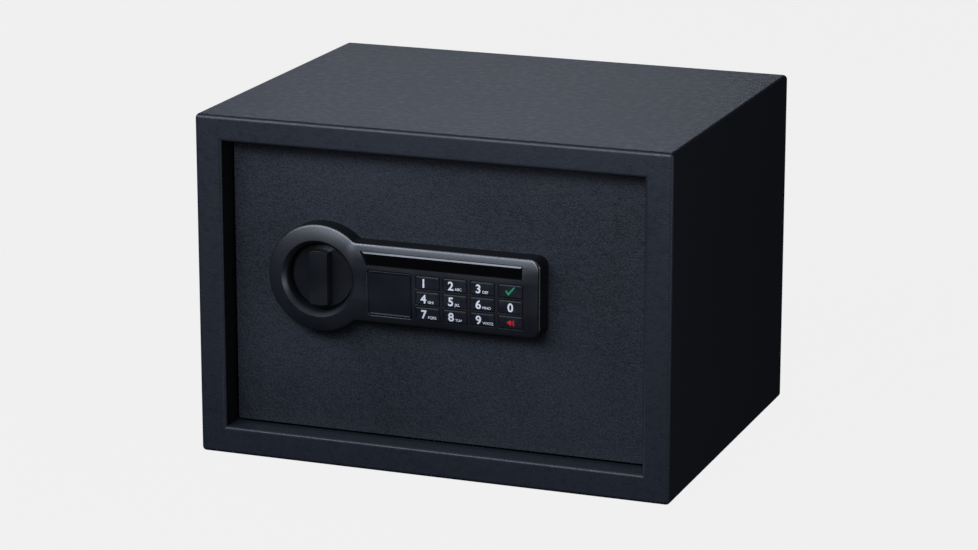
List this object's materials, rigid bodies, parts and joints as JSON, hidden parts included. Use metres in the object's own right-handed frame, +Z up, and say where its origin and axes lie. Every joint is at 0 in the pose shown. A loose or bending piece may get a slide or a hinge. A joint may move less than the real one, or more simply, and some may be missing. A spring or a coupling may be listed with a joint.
{
  "type": "in-room safe",
  "caption": "Small black steel room safe: recessed hinged door with a round bolt knob, push-button keypad, indicator window and covered override key lock.",
  "frame": {"origin": "middle of the cabinet's underside, midway between its sides and between its front and back faces", "axes": "+X to the viewer's right when facing the door, +Y from the door to the back, +Z up"},
  "size_m": [0.35, 0.272, 0.246],
  "materials": {
    "cabinet_paint": "fine-textured black powder coat, satin",
    "door_paint": "grainy black powder coat, matt",
    "housing_plastic": "black moulded plastic, satin",
    "window_acrylic": "near-black glossy acrylic",
    "button_rubber": "black keypad rubber, satin, with printed legends",
    "zinc_steel": "bright zinc-plated steel",
    "brass": "turned brass",
    "mat_felt": "charcoal needle felt",
    "board_green": "green solder mask",
    "coil_copper": "wound, varnished copper wire",
    "cell_jacket": "printed film jacket, satin",
    "reset_red": "red moulded plastic",
    "lead_black": "black wire insulation"
  },
  "bodies": {
    "cabinet": {"body_shell": "cabinet_paint", "back_panel": "cabinet_paint", "hinge_plate_upper": "zinc_steel", "hinge_plate_lower": "zinc_steel", "door_stop_upper": "cabinet_paint", "door_stop_lower": "cabinet_paint", "floor_mat": "mat_felt"},
    "door": {"door_panel": "door_paint", "hinge_block_upper": "zinc_steel", "hinge_block_lower": "zinc_steel", "hinge_pin_upper": "zinc_steel", "hinge_pin_lower": "zinc_steel", "lock_bezel": "housing_plastic", "indicator_window": "window_acrylic", "keypad_mat": "button_rubber", "circuit_board": "board_green", "key_barrel": "zinc_steel", "knob_bushing": "button_rubber", "bolt_guide": "zinc_steel", "guide_screw_upper": "zinc_steel", "guide_screw_lower": "zinc_steel", "solenoid_frame": "zinc_steel", "solenoid_coil": "coil_copper", "plunger_spring": "zinc_steel", "inner_cover": "cabinet_paint", "cover_screw_1": "zinc_steel", "cover_screw_2": "zinc_steel", "cover_screw_3": "zinc_steel", "cover_screw_4": "zinc_steel", "battery_tray": "housing_plastic", "battery_1": "cell_jacket", "battery_2": "cell_jacket", "battery_3": "cell_jacket", "battery_4": "cell_jacket", "battery_lead": "lead_black", "solenoid_lead": "lead_black"},
    "knob": {"knob": "housing_plastic", "knob_crank": "zinc_steel"},
    "bolts": {"bolt_carriage": "zinc_steel", "bolt_upper": "zinc_steel", "bolt_lower": "zinc_steel"},
    "plunger": {"solenoid_plunger": "zinc_steel"},
    "key_plug": {"key_plug": "brass", "key_cam": "zinc_steel"},
    "key_cover": {"key_cover": "housing_plastic"},
    "battery_cover": {"battery_cover": "housing_plastic"},
    "reset_button": {"reset_button": "reset_red"},
    "button_1": {"button_1": "button_rubber"},
    "button_2": {"button_2": "button_rubber"},
    "button_3": {"button_3": "button_rubber"},
    "button_enter": {"button_enter": "button_rubber"},
    "button_4": {"button_4": "button_rubber"},
    "button_5": {"button_5": "button_rubber"},
    "button_6": {"button_6": "button_rubber"},
    "button_0": {"button_0": "button_rubber"},
    "button_7": {"button_7": "button_rubber"},
    "button_8": {"button_8": "button_rubber"},
    "button_9": {"button_9": "button_rubber"},
    "button_clear": {"button_clear": "button_rubber"}
  },
  "joints": [
    {"name": "door_hinge", "type": "hinge", "parent": "cabinet", "child": "door", "pos_m": [0.141, -0.111, 0.123], "axis": [0, 0, 1], "range_deg": [0, 100]},
    {"name": "knob_turn", "type": "hinge", "parent": "door", "child": "knob", "pos_m": [-0.0837, -0.1334, 0.1352], "axis": [0, -1, 0], "range_deg": [0, 90]},
    {"name": "bolt_slide", "type": "slide", "parent": "door", "child": "bolts", "axis": [-1, 0, 0], "range_m": [0, 0.01414]},
    {"name": "plunger_pull", "type": "slide", "parent": "door", "child": "plunger", "axis": [0, 0, 1], "range_m": [0, 0.005], "deforming": ["plunger_spring"]},
    {"name": "key_turn", "type": "hinge", "parent": "door", "child": "key_plug", "pos_m": [-0.0291, -0.1312, 0.1276], "axis": [0, -1, 0], "range_deg": [-90, 0]},
    {"name": "key_cover_pull", "type": "slide", "parent": "door", "child": "key_cover", "axis": [0, -1, 0], "range_m": [0, 0.012]},
    {"name": "battery_cover_pull", "type": "slide", "parent": "door", "child": "battery_cover", "axis": [0, 1, 0], "range_m": [0, 0.02]},
    {"name": "reset_press", "type": "slide", "parent": "door", "child": "reset_button", "axis": [0, -1, 0], "range_m": [0, 0.0014], "stiffness_N_per_m": 600},
    {"name": "press_1", "type": "slide", "parent": "door", "child": "button_1", "axis": [0, 1, 0], "range_m": [0, 0.0008], "stiffness_N_per_m": 600},
    {"name": "press_2", "type": "slide", "parent": "door", "child": "button_2", "axis": [0, 1, 0], "range_m": [0, 0.0008], "stiffness_N_per_m": 600},
    {"name": "press_3", "type": "slide", "parent": "door", "child": "button_3", "axis": [0, 1, 0], "range_m": [0, 0.0008], "stiffness_N_per_m": 600},
    {"name": "press_enter", "type": "slide", "parent": "door", "child": "button_enter", "axis": [0, 1, 0], "range_m": [0, 0.0008], "stiffness_N_per_m": 600},
    {"name": "press_4", "type": "slide", "parent": "door", "child": "button_4", "axis": [0, 1, 0], "range_m": [0, 0.0008], "stiffness_N_per_m": 600},
    {"name": "press_5", "type": "slide", "parent": "door", "child": "button_5", "axis": [0, 1, 0], "range_m": [0, 0.0008], "stiffness_N_per_m": 600},
    {"name": "press_6", "type": "slide", "parent": "door", "child": "button_6", "axis": [0, 1, 0], "range_m": [0, 0.0008], "stiffness_N_per_m": 600},
    {"name": "press_0", "type": "slide", "parent": "door", "child": "button_0", "axis": [0, 1, 0], "range_m": [0, 0.0008], "stiffness_N_per_m": 600},
    {"name": "press_7", "type": "slide", "parent": "door", "child": "button_7", "axis": [0, 1, 0], "range_m": [0, 0.0008], "stiffness_N_per_m": 600},
    {"name": "press_8", "type": "slide", "parent": "door", "child": "button_8", "axis": [0, 1, 0], "range_m": [0, 0.0008], "stiffness_N_per_m": 600},
    {"name": "press_9", "type": "slide", "parent": "door", "child": "button_9", "axis": [0, 1, 0], "range_m": [0, 0.0008], "stiffness_N_per_m": 600},
    {"name": "press_clear", "type": "slide", "parent": "door", "child": "button_clear", "axis": [0, 1, 0], "range_m": [0, 0.0008], "stiffness_N_per_m": 600}
  ],
  "couplings": [
    {"joint": "knob_turn", "follows": "bolt_slide", "rad_per_m": 111.08}
  ]
}
